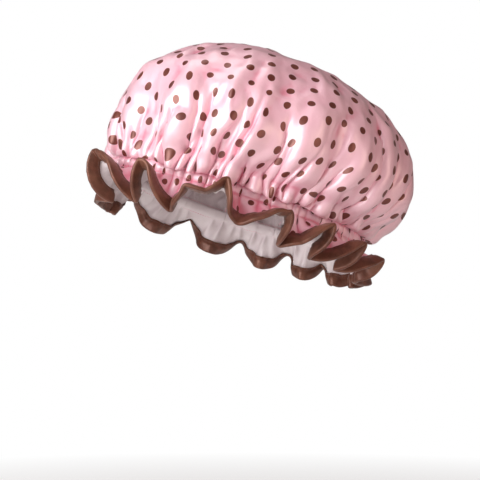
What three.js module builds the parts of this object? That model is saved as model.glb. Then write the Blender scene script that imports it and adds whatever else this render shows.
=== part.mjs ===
// A gathered shower cap as it sits on a head: a satin shell over a waterproof lining, an elastic
// band in the tunnel sewn between them, a frilled edge below it and a folded tape binding the hem.
// Millimetres. +Z is up for the wearer, who faces -Y, so +X is the wearer's left. The origin is the
// middle of the head opening, halfway up the elastic.
import * as THREE from "three";

// Head opening: the elastic as it is stretched round a head, measured to the middle of its thickness.
const openingHalfLength = 108;
const openingHalfWidth = 86;
const forwardTiltDegrees = 18.5; // the opening is this much higher at the forehead than at the nape

// Crown: the puffed part above the elastic, heights taken from the middle of the elastic.
const crownHalfLength = 127;
const crownHalfWidth = 118;
const crownHeight = 127;
const crownWidestHeight = 46.5;
const crownSetBack = 9; // how far the middle of the crown lies behind the middle of the opening
const frontFullness = 2.4; // exponent of the arched outline: 2 is an ellipse, more is squarer
const backFullness = 1.88;
const underTuckDegrees = 62; // how far the crown curls in under its widest line

// Elastic and the tunnel that holds it.
const elasticWidth = 7;
const elasticThickness = 0.8;
const elasticLapLength = 14; // the ends lie on each other here, at the nape
const tunnelPlay = 0.5; // room above and below the elastic

// Frill: the free edge below the tunnel.
const frillLength = 29; // along the cloth, from the tunnel to the raw edge
const frillStartDegrees = 18; // outward of straight down, where the frill leaves the tunnel
const frillStartShare = 0.3; // and this much of the hem's own lean besides
const gatherDepth = 2.2; // how far a fold moves the elastic in and out
const crownFoldDepth = 3.5; // and the crown, at its deepest

// Cloth, tape and the room between the layers.
const satinThickness = 0.6;
const liningThickness = 0.4;
const bindingThickness = 0.6;
const bindingWidth = 9.5;
const bindingLapLength = 12; // the tape's end is turned over its start here, at the nape
const layerClearance = 0.45; // between any two layers that lie on each other
const crownAirGap = 1; // between the shell and the lining where they hang free
const foldFlatShare = 0.45; // how much of the tape's fold is flat, before it rounds off

// The frill's folds, in order from the forehead towards the wearer's left: where each crest stands,
// how far out of straight down its hem leans, and the same lean in the valley that follows it. The
// two shallow valleys make the broad arches over the forehead and the temple.
const crestTurnDegrees = [4, 30, 50, 67, 86, 103, 120, 144, 170, 184, 206, 225, 246, 270, 298, 331];
const crestLeanDegrees = [126, 110, 87, 128, 104, 102, 90, 74, 55, 61, 79, 92, 87, 103, 111, 119];
const valleyLeanDegrees = [23, 8, 82, 34, 12, 4, 8, 5, 7, -2, 5, 10, 2, 8, 8, 100];
const samplesPerFold = 6;
const foldCount = crestTurnDegrees.length;
const sampleCount = foldCount * samplesPerFold;

// A place down the cloth is a plain number: 0 is the middle of the crown's top, 1 and 2 are the
// tunnel's upper and lower stitching and 3 is the hem.
const tunnelTopShare = 1;
const tunnelBottomShare = 2;
const hemShare = 3;
const bindingTopShare = hemShare - bindingWidth / frillLength;

// How deep the folds are at each height of the crown: from the middle of the top, where there are
// none, through the widest line to the tunnel.
const crownFoldShares = [0, 0, 0.05, 0.3, 0.75, 1, 1];
const widestShare = 0.62; // how far down the crown's own curve its widest line lies
const lastFreeShare = 0.83; // below this the elastic begins to hold the folds
const bendShare = 0.7; // how far down the frill its bend from the first lean to the hem's is done

// Rows of points on the crown and how many samples lie between the points of each: the crown is
// coarse where it is smooth.
const crownRowShares = [0.14, 0.31, 0.47, 0.64, 0.83];
const crownRowSteps = [8, 4, 2, 2, 1];

const quarterTurn = Math.PI / 2;
const smallStep = 1e-3; // of a sample or a row, for slopes

// Half the room between shell and lining: the elastic's lap needs the most of it.
const tunnelHalfHeight = elasticWidth / 2 + tunnelPlay;
const tunnelHalfGap = elasticThickness + layerClearance;
const riseToWidest = crownWidestHeight - tunnelHalfHeight;
const crownHalfGap = crownAirGap / 2;
const frillHalfGap = layerClearance / 2;

function radians(degrees) {
  return THREE.MathUtils.degToRad(degrees);
}

// A value from a list that runs evenly from 0 to 1, straight between its entries.
function listValue(list, share) {
  const place = THREE.MathUtils.clamp(share, 0, 1) * (list.length - 1);
  const before = Math.min(Math.floor(place), list.length - 2);
  return THREE.MathUtils.lerp(list[before], list[before + 1], place - before);
}

// Samples run round the cap and give each fold the same number, however wide it is. Sample 0 is on
// the first crest, and the lists go on past either end.
function crestValue(list, crest, gainPerTurn) {
  const turns = Math.floor(crest / foldCount);
  return list[crest - turns * foldCount] + turns * gainPerTurn;
}

function betweenCrests(list, sample, gainPerTurn) {
  const place = sample / samplesPerFold;
  const crest = Math.floor(place);
  const from = crestValue(list, crest, gainPerTurn);
  const to = crestValue(list, crest + 1, gainPerTurn);
  return THREE.MathUtils.lerp(from, to, place - crest);
}

function turnAngle(sample) {
  return radians(betweenCrests(crestTurnDegrees, sample, 360));
}

function foldWave(sample) {
  return Math.cos((2 * Math.PI * sample) / samplesPerFold);
}

// A point of the ellipse with these half axes, lifted to a height, and the level direction that
// points out of it.
function ringPoint(halfLength, halfWidth, height, angle) {
  return new THREE.Vector3(
    halfWidth * Math.sin(angle),
    -halfLength * Math.cos(angle),
    height,
  );
}

function levelOutward(halfLength, halfWidth, angle) {
  const across = Math.sin(angle) / halfWidth;
  const along = -Math.cos(angle) / halfLength;
  return new THREE.Vector3(across, along, 0).normalize();
}

// The crown's middle surface.
function crownPoint(sample, down) {
  const angle = turnAngle(sample);
  const frontness = (1 + Math.cos(angle)) / 2;
  const fullness = THREE.MathUtils.lerp(backFullness, frontFullness, frontness);
  let halfLength = crownHalfLength;
  let halfWidth = crownHalfWidth;
  let height = crownWidestHeight;
  if (down < widestShare) {
    const arch = (quarterTurn * down) / widestShare;
    const spread = Math.pow(Math.sin(arch), 2 / fullness);
    const rise = Math.pow(Math.cos(arch), 2 / fullness);
    halfLength *= spread;
    halfWidth *= spread;
    height += (crownHeight - crownWidestHeight) * rise;
  } else {
    const tuckEnd = radians(underTuckDegrees);
    const tuck = (tuckEnd * (down - widestShare)) / (1 - widestShare);
    const outShare = (Math.cos(tuck) - Math.cos(tuckEnd)) / (1 - Math.cos(tuckEnd));
    const fallShare = Math.sin(tuck) / Math.sin(tuckEnd);
    halfLength = THREE.MathUtils.lerp(openingHalfLength, crownHalfLength, outShare);
    halfWidth = THREE.MathUtils.lerp(openingHalfWidth, crownHalfWidth, outShare);
    height = THREE.MathUtils.lerp(crownWidestHeight, tunnelHalfHeight, fallShare);
  }
  const setBack = crownSetBack * Math.min(1, (height - tunnelHalfHeight) / riseToWidest);
  const free = listValue(crownFoldShares, down) * crownFoldDepth;
  const held = THREE.MathUtils.smoothstep(down, lastFreeShare, 1);
  const depth = THREE.MathUtils.lerp(free, gatherDepth, held) * foldWave(sample);
  const outward = levelOutward(crownHalfLength, crownHalfWidth, angle);
  const point = ringPoint(halfLength, halfWidth, height, angle).addScaledVector(outward, depth);
  point.y += setBack;
  return point;
}

// The tunnel's middle surface: an upright strip that follows the gathered elastic.
function tunnelPoint(sample, down) {
  const angle = turnAngle(sample);
  const height = THREE.MathUtils.lerp(tunnelHalfHeight, -tunnelHalfHeight, down - tunnelTopShare);
  const outward = levelOutward(openingHalfLength, openingHalfWidth, angle);
  const point = ringPoint(openingHalfLength, openingHalfWidth, height, angle);
  return point.addScaledVector(outward, gatherDepth * foldWave(sample));
}

// The frill's middle surface. The cloth keeps its length and bends from the lean with which it
// leaves the tunnel to the one it has at the hem.
function frillPoint(sample, down) {
  const outward = levelOutward(openingHalfLength, openingHalfWidth, turnAngle(sample));
  const point = tunnelPoint(sample, tunnelBottomShare);
  const crestShare = (1 + foldWave(sample)) / 2;
  const crestLean = betweenCrests(crestLeanDegrees, sample, 0);
  const valleyLean = crestValue(valleyLeanDegrees, Math.floor(sample / samplesPerFold), 0);
  const hemLean = radians(THREE.MathUtils.lerp(valleyLean, crestLean, crestShare));
  const startLean = radians(frillStartDegrees) + hemLean * frillStartShare;
  const steps = 12;
  const frillShare = down - tunnelBottomShare;
  const stride = (frillShare * frillLength) / steps;
  for (let step = 0; step < steps; step += 1) {
    const along = ((step + 0.5) / steps) * frillShare;
    const bent = THREE.MathUtils.smoothstep(along, 0, bendShare);
    const lean = THREE.MathUtils.lerp(startLean, hemLean, bent);
    point.addScaledVector(outward, stride * Math.sin(lean));
    point.z -= stride * Math.cos(lean);
  }
  return point;
}

function middlePoint(sample, down) {
  if (down <= tunnelTopShare) {
    return crownPoint(sample, down);
  }
  if (down <= tunnelBottomShare) {
    return tunnelPoint(sample, down);
  }
  return frillPoint(sample, down);
}

// The direction out of the cloth at a smooth place.
function smoothOutward(sample, down) {
  const above = middlePoint(sample, down - smallStep);
  const below = middlePoint(sample, Math.min(down + smallStep, hemShare));
  const before = middlePoint(sample - smallStep, down);
  const after = middlePoint(sample + smallStep, down);
  const round = after.sub(before);
  const fall = below.sub(above);
  return round.cross(fall).negate().normalize();
}

// The direction out of the cloth anywhere. At the tunnel's two stitched edges the cloth turns a
// corner, and this is the corner's mitre: a step along it is one step out of both its sides.
function clothOutward(sample, down) {
  if (down === 0) {
    return new THREE.Vector3(0, 0, 1);
  }
  if (down !== tunnelTopShare && down !== tunnelBottomShare) {
    return smoothOutward(sample, down);
  }
  const aboveEdge = smoothOutward(sample, down - 2 * smallStep);
  const belowEdge = smoothOutward(sample, down + 2 * smallStep);
  return aboveEdge.clone().add(belowEdge).divideScalar(1 + aboveEdge.dot(belowEdge));
}

// A place on the cloth moved out of it by a distance.
function clothPoint(sample, down, outwardBy) {
  return middlePoint(sample, down).addScaledVector(clothOutward(sample, down), outwardBy);
}

// The same with a distance past the hem, square to it in the plane of the cloth.
function cornerPoint(sample, { down, outwardBy, pastBy = 0 }) {
  const round = middlePoint(sample + smallStep, down).sub(middlePoint(sample - smallStep, down));
  const past = round.cross(clothOutward(sample, down)).normalize();
  return clothPoint(sample, down, outwardBy).addScaledVector(past, pastBy);
}

// Half the room between the layers, by the part of the cap.
function halfGap(down) {
  if (down < tunnelTopShare) {
    return crownHalfGap;
  }
  return down <= tunnelBottomShare ? tunnelHalfGap : frillHalfGap;
}

// Rows of the two layers from the top of the crown to the hem.
const crownRows = crownRowShares.map((down, index) => ({ down, step: crownRowSteps[index] }));
const lowerPlaces = [tunnelTopShare, tunnelBottomShare, bindingTopShare, hemShare];
const layerRows = [...crownRows, ...lowerPlaces.map((down) => ({ down, step: 1 }))];

// Collects points and triangles of one closed mesh.
class ClosedMesh {
  constructor() {
    this.points = [];
    this.triangles = [];
  }

  addPoint(point) {
    this.points.push(point.x, point.y, point.z);
    return this.points.length / 3 - 1;
  }

  addRing(points) {
    return points.map((point) => this.addPoint(point));
  }

  addTriangle(first, second, third, flipped) {
    const corners = flipped ? [first, third, second] : [first, second, third];
    this.triangles.push(...corners);
  }

  // Joins a ring to the next one, which has as many points or twice as many.
  joinRings(upper, lower, flipped) {
    const ratio = lower.length / upper.length;
    upper.forEach((start, index) => {
      const end = upper[(index + 1) % upper.length];
      const below = (extra) => lower[(index * ratio + extra) % lower.length];
      this.addTriangle(start, below(0), below(1), flipped);
      this.addTriangle(start, below(1), end, flipped);
      if (ratio === 2) {
        this.addTriangle(end, below(1), below(2), flipped);
      }
    });
  }

  closeTop(middle, ring, flipped) {
    ring.forEach((start, index) => {
      this.addTriangle(middle, start, ring[(index + 1) % ring.length], flipped);
    });
  }

  geometry() {
    const made = new THREE.BufferGeometry();
    made.setAttribute("position", new THREE.Float32BufferAttribute(this.points, 3));
    made.setIndex(this.triangles);
    made.computeVertexNormals();
    return made;
  }
}

function samplesEvery(step) {
  return Array.from({ length: sampleCount / step }, (_, index) => index * step);
}

// One layer of cloth from the top of the crown to the hem, between two distances from the middle
// surface, given for any place down the cap.
function layerGeometry(outerAt, innerAt) {
  const mesh = new ClosedMesh();
  const edges = [outerAt, innerAt].map((distanceAt, side) => {
    const flipped = side === 1;
    const top = mesh.addPoint(clothPoint(0, 0, distanceAt(0)));
    let previous = null;
    layerRows.forEach(({ down, step }) => {
      const ring = mesh.addRing(
        samplesEvery(step).map((sample) => clothPoint(sample, down, distanceAt(down))),
      );
      if (previous) {
        mesh.joinRings(previous, ring, flipped);
      } else {
        mesh.closeTop(top, ring, flipped);
      }
      previous = ring;
    });
    return previous;
  });
  mesh.joinRings(edges[0], edges[1], false);
  return mesh.geometry();
}

// A closed band round the cap. Each sample gives the corners of its section in order, as a place
// down the cloth, a distance out of it and a distance past the hem. Strips are always joined from
// the corner nearer the crown, which gives them the same diagonals as the layers beside them.
function bandGeometry(cornersAt) {
  const mesh = new ClosedMesh();
  const corners = samplesEvery(1).map(cornersAt);
  const sections = corners.map((list, sample) =>
    mesh.addRing(list.map((corner) => cornerPoint(sample, corner))),
  );
  const sides = corners[0].map((_, index) => sections.map((section) => section[index]));
  corners[0].forEach((corner, index) => {
    const next = (index + 1) % sides.length;
    if (corner.down <= corners[0][next].down) {
      mesh.joinRings(sides[index], sides[next], false);
    } else {
      mesh.joinRings(sides[next], sides[index], true);
    }
  });
  return mesh.geometry();
}

// 1 on the samples that lie in a lap of this length, centred at the nape, and 0 elsewhere.
function lapShare(sample, lapLength) {
  const place = tunnelPoint(sample, tunnelTopShare);
  const inLap = place.y > 0 && Math.abs(place.x) < lapLength / 2;
  return inLap ? 1 : 0;
}

function satinShell() {
  return layerGeometry(
    (down) => halfGap(down) + satinThickness,
    (down) => halfGap(down),
  );
}

function waterproofLining() {
  return layerGeometry(
    (down) => -halfGap(down),
    (down) => -halfGap(down) - liningThickness,
  );
}

// The elastic hangs in the middle of its tunnel, twice as thick where its ends are lapped.
function elasticBand() {
  const edgeShare = tunnelPlay / (2 * tunnelHalfHeight);
  return bandGeometry((sample) => {
    const half = (elasticThickness / 2) * (1 + lapShare(sample, elasticLapLength));
    return [
      { down: tunnelTopShare + edgeShare, outwardBy: half },
      { down: tunnelBottomShare - edgeShare, outwardBy: half },
      { down: tunnelBottomShare - edgeShare, outwardBy: -half },
      { down: tunnelTopShare + edgeShare, outwardBy: -half },
    ];
  });
}

// The tape is folded over the hem: a leg outside the satin, a rounded fold past the raw edges and a
// leg inside the lining.
function edgeBinding() {
  const outerFace = frillHalfGap + satinThickness + layerClearance;
  const innerFace = frillHalfGap + liningThickness + layerClearance;
  return bandGeometry((sample) => {
    const thickness = bindingThickness * (1 + lapShare(sample, bindingLapLength));
    const outerSkin = outerFace + thickness;
    const innerSkin = innerFace + thickness;
    const foldEnd = layerClearance + thickness;
    return [
      { down: bindingTopShare, outwardBy: outerFace },
      { down: bindingTopShare, outwardBy: outerSkin },
      { down: hemShare, outwardBy: outerSkin },
      { down: hemShare, outwardBy: outerSkin * foldFlatShare, pastBy: foldEnd },
      { down: hemShare, outwardBy: -innerSkin * foldFlatShare, pastBy: foldEnd },
      { down: hemShare, outwardBy: -innerSkin },
      { down: bindingTopShare, outwardBy: -innerSkin },
      { down: bindingTopShare, outwardBy: -innerFace },
      { down: hemShare, outwardBy: -innerFace, pastBy: layerClearance },
      { down: hemShare, outwardBy: outerFace, pastBy: layerClearance },
    ];
  });
}

const satinPink = new THREE.MeshStandardMaterial({ color: 0xf2a7bb, roughness: 0.38, metalness: 0 });
const liningWhite = new THREE.MeshStandardMaterial({ color: 0xe9dfe0, roughness: 0.3, metalness: 0 });
const elasticWhite = new THREE.MeshStandardMaterial({ color: 0xf2efec, roughness: 0.8, metalness: 0 });
const tapeBrown = new THREE.MeshStandardMaterial({ color: 0x6b4438, roughness: 0.5, metalness: 0 });

function piece(name, geometry, material) {
  const mesh = new THREE.Mesh(geometry, material);
  mesh.name = name;
  return mesh;
}

const wornCap = new THREE.Group();
wornCap.add(
  piece("satin_shell", satinShell(), satinPink),
  piece("waterproof_lining", waterproofLining(), liningWhite),
  piece("elastic_band", elasticBand(), elasticWhite),
  piece("edge_binding", edgeBinding(), tapeBrown),
);
wornCap.rotation.x = -radians(forwardTiltDegrees);

const showerCap = new THREE.Group();
showerCap.add(wornCap);

export default showerCap;
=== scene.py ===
# A shower cap: spotted satin gathered on elastic over a waterproof lining, its frill bound with tape.
# Metres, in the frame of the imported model: +Z up, the wearer faces -Y.
from math import cos, log, pi, radians, sin, sqrt

import bpy
import numpy as np
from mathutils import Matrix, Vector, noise


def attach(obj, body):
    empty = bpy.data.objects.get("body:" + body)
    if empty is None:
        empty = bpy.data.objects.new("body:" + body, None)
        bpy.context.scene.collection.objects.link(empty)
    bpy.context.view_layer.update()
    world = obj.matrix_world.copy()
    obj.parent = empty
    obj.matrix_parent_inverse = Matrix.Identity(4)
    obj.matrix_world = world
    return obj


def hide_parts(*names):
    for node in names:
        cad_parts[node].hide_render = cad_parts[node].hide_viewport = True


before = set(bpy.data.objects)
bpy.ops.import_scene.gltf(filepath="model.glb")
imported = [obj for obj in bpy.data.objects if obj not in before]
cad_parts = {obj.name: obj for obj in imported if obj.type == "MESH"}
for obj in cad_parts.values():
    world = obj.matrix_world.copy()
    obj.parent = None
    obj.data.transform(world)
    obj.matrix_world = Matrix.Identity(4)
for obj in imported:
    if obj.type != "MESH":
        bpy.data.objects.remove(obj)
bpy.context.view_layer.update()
print("frame loaded:", sorted(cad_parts))

# Camera: square to the picture's upright, seen from the wearer's front left.
cameraView = {
    "azimuth": 67,
    "distance": 1.5,
    "shownWidth": 0.3936,  # how much the frame takes in at the cap's middle
    "aimRight": 0.00123,
    "aimUp": -0.02755,
    "sensor": 36,
    "nearClip": 0.05,
}

azimuth = radians(cameraView["azimuth"])
towardCamera = np.array([sin(azimuth), -cos(azimuth), 0.0])
pictureRight = np.array([cos(azimuth), sin(azimuth), 0.0])
pictureUp = np.array([0.0, 0.0, 1.0])


def place(right, up, near):  # a point given as the camera sees it
    return right * pictureRight + up * pictureUp + near * towardCamera


def aimAt(thing, target):
    direction = Vector(target) - thing.location
    thing.rotation_euler = direction.to_track_quat("-Z", "Y").to_euler()


aimPoint = place(cameraView["aimRight"], cameraView["aimUp"], 0)
bpy.ops.object.select_all(action="DESELECT")
bpy.ops.object.camera_add(location=aimPoint + cameraView["distance"] * towardCamera)
camera = bpy.context.object
camera.name = "camera"
camera.data.sensor_width = cameraView["sensor"]
camera.data.lens = cameraView["sensor"] * cameraView["distance"] / cameraView["shownWidth"]
camera.data.clip_start = cameraView["nearClip"]
aimAt(camera, aimPoint)
bpy.context.scene.camera = camera


# The cap's own form, as its solids have it.
capForm = {
    "openingHalfLength": 0.108,
    "openingHalfWidth": 0.086,
    "tilt": 18.5,  # degrees, the opening higher at the forehead
    "crownHalfLength": 0.127,
    "crownHalfWidth": 0.118,
    "crownHeight": 0.127,
    "widestHeight": 0.0465,
    "setBack": 0.009,
    "frontFullness": 2.4,
    "backFullness": 1.88,
    "underTuck": 62,  # degrees
    "widestShare": 0.62,
    "crownReach": 0.218,  # along the cloth, from the middle of the top to the tunnel
    "tunnelHeight": 0.008,
    "frillLength": 0.029,
    "frillStart": 18,  # degrees out of straight down
    "frillStartShare": 0.3,
    "bendShare": 0.7,
}
crownReach = capForm["crownReach"]
tunnelHeight = capForm["tunnelHeight"]
frillLength = capForm["frillLength"]
openingHalfLength = capForm["openingHalfLength"]
openingHalfWidth = capForm["openingHalfWidth"]
tunnelEnd = crownReach + tunnelHeight
hemReach = tunnelEnd + frillLength
tilt = radians(capForm["tilt"])

# The frill's folds from the forehead towards the wearer's left, in degrees: where each crest stands
# and how far out of straight down its hem leans, and the lean of the valley after it.
frillFolds = {
    "crestTurn": [6, 33, 52, 64.5, 87, 104, 121, 138, 170, 184, 206, 225, 246, 270, 298, 326],
    "crestLean": [124, 120, 86, 128, 105, 111, 102, 92, 55, 61, 79, 92, 87, 103, 96, 6],
    "valleyLean": [15, 12, 88, 38, 12, 4, 8, 5, 7, -2, 5, 10, 2, 8, -4, -14],
    "valleyShares": [0.72, 0.56, 0.5, 0.42, 0.45, 0.45, 0.5, 0.5, 0.5, 0.5, 0.5, 0.5, 0.5, 0.5, 0.6, 0.8],
    "swing": 0.009,  # how far the folds of the hem fall over to the side, most near the brow and the nape
    "swingFrom": 60,  # degrees, where it changes side
    "crownShares": [0, 0, 0.05, 0.3, 0.75, 1, 1],
    "crownDepth": 0.0035,
    "valleySharpness": 0.92,  # 0 swings evenly, near 1 runs straight and turns sharply
    "crestSharpness": 0.6,
}
foldCount = len(frillFolds["crestTurn"])


def ease(value, start, end):
    share = np.clip((value - start) / (end - start), 0, 1)
    return share * share * (3 - 2 * share)


def mix(first, second, share):
    return first + (second - first) * share


def unit(vectors):
    return vectors / np.maximum(np.linalg.norm(vectors, axis=-1, keepdims=True), 1e-12)


def lengthAlong(points):  # from the first point to each one
    steps = np.linalg.norm(np.diff(points, axis=0), axis=1)
    return np.concatenate([[0], np.cumsum(steps)])


def wander(angle, seed, waves, size=1.0):  # a smooth irregular value that closes on itself round the cap
    draw = np.random.default_rng(seed)
    total = np.zeros_like(angle)
    for count in waves:
        total = total + draw.uniform(0.5, 1.0) * np.sin(count * angle + draw.uniform(0, 2 * pi))
    return size * total / sqrt(len(waves))


# Where each fold's phase stands round the opening, smooth from crest to crest.
def foldTable():
    crests = frillFolds["crestTurn"]
    knots = [turn - 360 for turn in crests[-2:]] + crests + [turn + 360 for turn in crests[:3]]
    steps = 40
    phases, turns = [], []
    for index in range(1, len(knots) - 2):
        before, start, end, after = knots[index - 1 : index + 3]
        slopeStart, slopeEnd = (end - before) / 2, (after - start) / 2
        for step in range(steps):
            share = step / steps
            cube, square = share**3, share**2
            turn = (2 * cube - 3 * square + 1) * start + (cube - 2 * square + share) * slopeStart
            turn += (3 * square - 2 * cube) * end + (cube - square) * slopeEnd
            phases.append(index - 2 + share)
            turns.append(radians(turn))
    return np.array(phases), np.array(turns)


foldPhases, foldTurns = foldTable()


def foldPhase(turn):  # 0 on the first crest, 1 on the next
    return np.interp(np.mod(turn - foldTurns[0], 2 * pi) + foldTurns[0], foldTurns, foldPhases)


turnGrid = np.linspace(0, 2 * pi, 721)
phaseGrid = np.interp(turnGrid, foldTurns, foldPhases)


def ellipseShares(halfLength, halfWidth):
    lengths = lengthAlong(np.stack([halfWidth * np.sin(turnGrid), -halfLength * np.cos(turnGrid)], axis=-1))
    return lengths / lengths[-1]


crownShares = ellipseShares(capForm["crownHalfLength"], capForm["crownHalfWidth"])
openingShares = ellipseShares(openingHalfLength, openingHalfWidth)
# More cloth where the folds are close.
gatherShares = (openingShares + (phaseGrid - phaseGrid[0]) / foldCount) / 2


# A point of the cloth is given by its angle on the flat disc, from the forehead, and by its reach.
def turnAt(angle, reach):  # where it stands round the cap
    around = np.mod(crowdedAngle(angle, reach), 2 * pi) / (2 * pi)
    free = np.interp(around, crownShares, turnGrid)
    held = np.interp(around, gatherShares, turnGrid)
    return mix(free, held, ease(reach, *gathers["drawnIn"]))


def domePoint(turn, down):
    tuckEnd = radians(capForm["underTuck"])
    widest, widestHeight, tunnelHalf = capForm["widestShare"], capForm["widestHeight"], tunnelHeight / 2
    power = 2 / mix(capForm["backFullness"], capForm["frontFullness"], (1 + np.cos(turn)) / 2)
    arch = np.clip(down / widest, 0, 1) * pi / 2
    spread = np.sin(arch) ** power
    rise = np.maximum(np.cos(arch), 0) ** power
    tuck = tuckEnd * np.clip((down - widest) / (1 - widest), 0, 1)
    outShare = (np.cos(tuck) - cos(tuckEnd)) / (1 - cos(tuckEnd))
    fallen = mix(widestHeight, tunnelHalf, np.sin(tuck) / sin(tuckEnd))
    height = np.where(down >= widest, fallen, mix(widestHeight, capForm["crownHeight"], rise))

    def halfSize(opening, crown):
        return np.where(down >= widest, mix(opening, crown, outShare), crown * spread)

    halfLength = halfSize(openingHalfLength, capForm["crownHalfLength"])
    halfWidth = halfSize(openingHalfWidth, capForm["crownHalfWidth"])
    back = capForm["setBack"] * np.minimum(1, (height - tunnelHalf) / (widestHeight - tunnelHalf))
    return np.stack([halfWidth * np.sin(turn), back - halfLength * np.cos(turn), height], axis=-1)


# Reach along the cloth against place down the dome, for each line of cloth.
downGrid = np.linspace(0, 1, 241)
dome = domePoint(turnGrid[:, None], downGrid[None, :])
domeLengths = np.stack([lengthAlong(line) for line in dome])
domeLengths /= domeLengths[:, -1:]


def downAt(turn, reach):
    share = reach / crownReach
    places = np.array([np.interp(share, lengths, downGrid) for lengths in domeLengths])
    return np.interp(turn, turnGrid, places)


def levelOut(turn):
    across, along = np.sin(turn) / openingHalfWidth, -np.cos(turn) / openingHalfLength
    return unit(np.stack([across, along, np.zeros_like(turn)], axis=-1))


gathers = {
    "seed": 11,
    # Pleats: their depth at the tunnel and further up, how far up they reach, and their share there.
    "bands": [
        {"seed": 11, "count": 61, "held": 0.0018, "free": 0.0010, "reach": 0.034, "share": 0.32},
        {"seed": 21, "count": 33, "held": 0.0012, "free": 0.0024, "reach": 0.075, "share": 0.2},
    ],
    "crowding": 0.7,  # how much of the cloth is folded away in a valley
    "frillCrowding": 0.25,
    "sharpness": 0.014,
    "drawnIn": (0.09, 0.205),  # the reaches between which the cloth draws towards the frill's folds
    "turnedOut": (0.15, 0.212),  # and those between which its pleats turn to stand level
    "creases": 58,  # single folds that run up from the tunnel
    "creaseKinds": (0.3, 0.42, 0.28),  # the shares of long, middling and short ones
    "creaseLengths": ((0.085, 0.135), (0.048, 0.08), (0.024, 0.042)),
    "creaseDepth": 0.0066,
    "creaseDepthShares": ((0.9, 1.25), (0.7, 1.1), (0.5, 0.8)),
    "creaseWidths": (0.0028, 0.0052),
    "creaseCrowding": 0.75,
    "crumple": 0.00418,
    "crumpleLayers": ((0.052, 1.0), (0.030, -0.6), (0.017, 0.4)),  # the spacing and share of each
    "drapeLayers": ((0.017, 0.55), (0.010, -0.35)),
    "crumpleUntil": (0.165, 0.212),
    "drapeFrom": (0.05, 0.12),
    "drapeUntil": (0.205, 0.2165),
    "drapeRadius": 0.11,
    "drapeStretch": 3.0,
    "sewnFrom": 0.2115,  # the reach from which the pleats pass into the sewn row
    "sewnOut": 0.0005,  # the satin at the two sewn rows, out from the elastic's own line
    "sewnDepth": 0.0024,
    "tunnelOut": 0.0008,  # and over the elastic, where it puffs out between them
    "tunnelDepth": 0.0029,
    "tunnelPucker": 0.0009,
    "edgeShare": 0.056,  # of the tunnel's height, clear of the elastic's edge
    "droop": 0.0041,  # the fullness that hangs over the upper row of stitches
    "droopTurn": 1.05,  # where most of it hangs, in radians from the forehead towards the wearer's left
    "droopWidth": 0.95,
    "droopReach": 0.016,
    "frillPleats": 0.0050,
    "frillWander": 0.001,
}


def ridge(phase):  # rounded on top, up to 1, and narrow in the valley
    soft = gathers["sharpness"]
    return 2 * np.sqrt((np.sin(pi * phase) ** 2 + soft) / (1 + soft)) - 1


def pleatPhase(angle, above, band, shift=0):  # whole numbers lie in the valleys
    seed = band["seed"] + shift
    phase = band["count"] * angle / (2 * pi) + wander(angle, seed, [3, 7, 11, 17], 0.55)
    return phase + wander(angle, seed + 1, [2, 5, 9], 0.5) * above / 0.1


def pleatFade(angle, above, band):
    top = band["reach"] * (1 + wander(angle, band["seed"] + 3, [4, 9, 15, 23], 0.35))
    return 1 - ease(above, 0.2 * top, top)


def pleatLift(angle, reach, band):
    above = crownReach - reach
    size = 1 + wander(angle, band["seed"] + 2, [5, 13, 19, 29], 0.45)
    depth = mix(band["held"], band["free"], ease(above, 0.002, 0.022))
    return depth * size * pleatFade(angle, above, band) * ridge(pleatPhase(angle, above, band))


def creaseList():
    draw = np.random.default_rng(gathers["seed"] + 400)
    creases = []
    for index in range(gathers["creases"]):
        kind = draw.choice(3, p=gathers["creaseKinds"])
        length = [draw.uniform(*ends) for ends in gathers["creaseLengths"]][kind]
        depthShare = [draw.uniform(*ends) for ends in gathers["creaseDepthShares"]][kind]
        crease = {
            "angle": 2 * pi * (index + draw.uniform(-0.38, 0.38)) / gathers["creases"],
            "length": length,
            "depth": gathers["creaseDepth"] * depthShare,
            "width": draw.uniform(*gathers["creaseWidths"]),
            "lean": draw.normal(0, 0.9),
            "bow": draw.normal(0, 5.0),
        }
        creases.append(crease)
    return creases


creases = creaseList()


# How far the cloth lies from a crease, in the crease's own widths, and the crease's strength there.
def creaseAcross(crease, angle, reach):
    above = crownReach - reach
    line = crease["angle"] + crease["lean"] * above + crease["bow"] * above * above
    apart = np.mod(angle - line + pi, 2 * pi) - pi
    width = crease["width"] * (1 + 1.1 * above / crease["length"])
    fade = 1 - ease(above, 0.35 * crease["length"], crease["length"])
    return apart * reach / width, fade * ease(above, -0.002, 0.012)


def creaseLift(angle, reach):
    total = np.zeros_like(angle)
    for crease in creases:
        if crownReach - reach < crease["length"]:
            across, fade = creaseAcross(crease, angle, reach)
            total -= crease["depth"] * fade * np.exp(-np.sqrt(across**2 + 0.05))
    return total - 0.8 * np.mean(total)


# The cloth that the opening has no room for is folded away: lines of cloth lie close together in each
# valley and keep their distance on the ridges.
crowdGrid = np.linspace(0, 2 * pi, 2881)
crowdTables = {}


def crowdTable(reach):
    above = max(crownReach - reach, 0)
    inFrill = ease((reach - tunnelEnd) / frillLength, 0, 0.7)
    share = gathers["crowding"] * mix(1, gathers["frillCrowding"], inFrill)
    density = np.ones_like(crowdGrid)
    for band in gathers["bands"]:
        valley = np.cos(pi * pleatPhase(crowdGrid, above, band)) ** 4
        density *= 1 - share * pleatFade(crowdGrid, above, band) * valley
    for crease in creases:
        if 0 < above < crease["length"]:
            across, fade = creaseAcross(crease, crowdGrid, reach)
            density *= 1 - gathers["creaseCrowding"] * fade * np.exp(-(across**2))
    places = np.concatenate([[0], np.cumsum((density[1:] + density[:-1]) / 2)])
    offset = (2 * pi * places / places[-1] - crowdGrid)[:-1]
    window = 241
    padded = np.concatenate([offset[-window // 2 :], offset, offset[: window // 2]])
    evened = np.convolve(padded, np.ones(window) / window, "same")[(window + 1) // 2 :]
    offset = offset - evened[: len(offset)]
    return np.append(offset, offset[0])


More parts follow.
